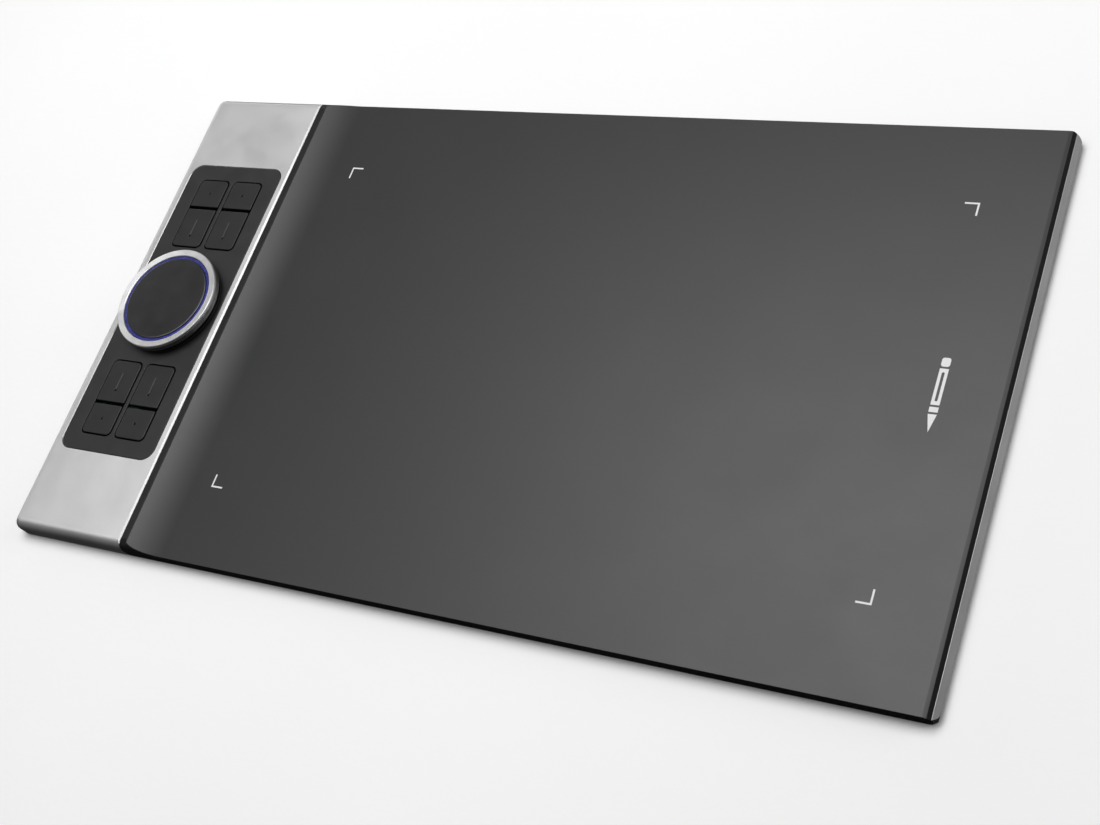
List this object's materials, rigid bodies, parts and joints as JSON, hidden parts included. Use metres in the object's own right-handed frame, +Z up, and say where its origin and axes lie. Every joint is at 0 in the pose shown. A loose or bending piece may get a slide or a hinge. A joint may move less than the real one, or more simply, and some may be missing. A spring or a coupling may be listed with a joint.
{
  "type": "pen drawing tablet",
  "caption": "Flat pen tablet with a raised metal control strip carrying press keys and a free-turning dial beside a matte drawing panel with an upturned edge.",
  "frame": {"origin": "centre of the footprint on the desk, at the underside of the rubber feet", "axes": "+X from the control strip to the drawing panel's far edge, +Y to the back, +Z up, out of the drawing surface"},
  "size_m": [0.4008, 0.2234, 0.0157],
  "materials": {
    "shell_aluminium": "fine bead-blasted, anodised silver",
    "strip_aluminium": "fine bead-blasted, anodised silver with bright cut edges",
    "trim_aluminium": "turned, bright",
    "frame_plastic": "satin black moulding",
    "film": "fine paper-like texture, matte",
    "white_print": "printed, matte",
    "bezel_plastic": "satin black",
    "key_plastic": "satin black",
    "knob_plastic": "dark grey, finely grooved",
    "touch_disc": "dark, smooth, slightly dished",
    "light_guide": "blue, lit from inside",
    "circuit_board": "solder mask",
    "chip": "moulded",
    "led": "clear cap",
    "flex": "polyimide film",
    "socket_steel": "nickel plated",
    "screw_steel": "dark nickel",
    "spring_steel": "spring strip",
    "shield_steel": "thin sheet",
    "silicone": "moulded, translucent grey",
    "rubber": "matt",
    "tape": "adhesive foam"
  },
  "bodies": {
    "tablet": {"back_shell": "shell_aluminium", "rubber_feet": "rubber", "shell_screws": "screw_steel", "mid_frame": "frame_plastic", "support_grid": "frame_plastic", "panel_tape": "tape", "ramp_rail": "frame_plastic", "panel_plate": "frame_plastic", "surface_film": "film", "active_area_marks": "white_print", "pen_pictogram": "white_print", "digitizer_board": "circuit_board", "shield_plate": "shield_steel", "sensor_ribbon": "flex", "strip_cover": "strip_aluminium", "strip_carrier": "frame_plastic", "control_bezel": "bezel_plastic", "main_board": "circuit_board", "board_chips": "chip", "ribbon_connectors": "chip", "board_screws": "screw_steel", "usb_socket_shell": "socket_steel", "usb_socket_tongue": "chip", "dial_slip_washer": "chip", "dial_pillar": "frame_plastic", "dial_pillar_screws": "screw_steel", "dial_top_plate": "frame_plastic", "dial_touch_board": "circuit_board", "dial_leds": "led", "dial_light_ring": "light_guide", "dial_touch_disc": "touch_disc", "dial_base_ring": "bezel_plastic", "dial_ribbon": "flex", "encoder_sensor": "chip", "detent_spring": "spring_steel", "dome_back_long_left": "silicone", "dome_back_long_right": "silicone", "dome_back_short_left": "silicone", "dome_back_short_right": "silicone", "dome_front_long_left": "silicone", "dome_front_long_right": "silicone", "dome_front_short_left": "silicone", "dome_front_short_right": "silicone"},
    "dial": {"dial_knob": "knob_plastic", "dial_trim_ring": "trim_aluminium", "dial_code_wheel": "knob_plastic", "dial_retaining_clip": "spring_steel"},
    "key_back_long_left": {"key_back_long_left": "key_plastic"},
    "key_back_long_right": {"key_back_long_right": "key_plastic"},
    "key_back_short_left": {"key_back_short_left": "key_plastic"},
    "key_back_short_right": {"key_back_short_right": "key_plastic"},
    "key_front_long_left": {"key_front_long_left": "key_plastic"},
    "key_front_long_right": {"key_front_long_right": "key_plastic"},
    "key_front_short_left": {"key_front_short_left": "key_plastic"},
    "key_front_short_right": {"key_front_short_right": "key_plastic"}
  },
  "joints": [
    {"name": "dial_turn", "type": "hinge", "parent": "tablet", "child": "dial", "pos_m": [-0.16875, 0, 0.01], "axis": [0, 0, 1], "continuous": true},
    {"name": "press_back_long_left", "type": "slide", "parent": "tablet", "child": "key_back_long_left", "axis": [0, 0, -1], "range_m": [0, 0.0008], "stiffness_N_per_m": 500, "springref_m": -0.0004, "deforming": ["dome_back_long_left"]},
    {"name": "press_back_long_right", "type": "slide", "parent": "tablet", "child": "key_back_long_right", "axis": [0, 0, -1], "range_m": [0, 0.0008], "stiffness_N_per_m": 500, "springref_m": -0.0004, "deforming": ["dome_back_long_right"]},
    {"name": "press_back_short_left", "type": "slide", "parent": "tablet", "child": "key_back_short_left", "axis": [0, 0, -1], "range_m": [0, 0.0008], "stiffness_N_per_m": 500, "springref_m": -0.0004, "deforming": ["dome_back_short_left"]},
    {"name": "press_back_short_right", "type": "slide", "parent": "tablet", "child": "key_back_short_right", "axis": [0, 0, -1], "range_m": [0, 0.0008], "stiffness_N_per_m": 500, "springref_m": -0.0004, "deforming": ["dome_back_short_right"]},
    {"name": "press_front_long_left", "type": "slide", "parent": "tablet", "child": "key_front_long_left", "axis": [0, 0, -1], "range_m": [0, 0.0008], "stiffness_N_per_m": 500, "springref_m": -0.0004, "deforming": ["dome_front_long_left"]},
    {"name": "press_front_long_right", "type": "slide", "parent": "tablet", "child": "key_front_long_right", "axis": [0, 0, -1], "range_m": [0, 0.0008], "stiffness_N_per_m": 500, "springref_m": -0.0004, "deforming": ["dome_front_long_right"]},
    {"name": "press_front_short_left", "type": "slide", "parent": "tablet", "child": "key_front_short_left", "axis": [0, 0, -1], "range_m": [0, 0.0008], "stiffness_N_per_m": 500, "springref_m": -0.0004, "deforming": ["dome_front_short_left"]},
    {"name": "press_front_short_right", "type": "slide", "parent": "tablet", "child": "key_front_short_right", "axis": [0, 0, -1], "range_m": [0, 0.0008], "stiffness_N_per_m": 500, "springref_m": -0.0004, "deforming": ["dome_front_short_right"]}
  ]
}
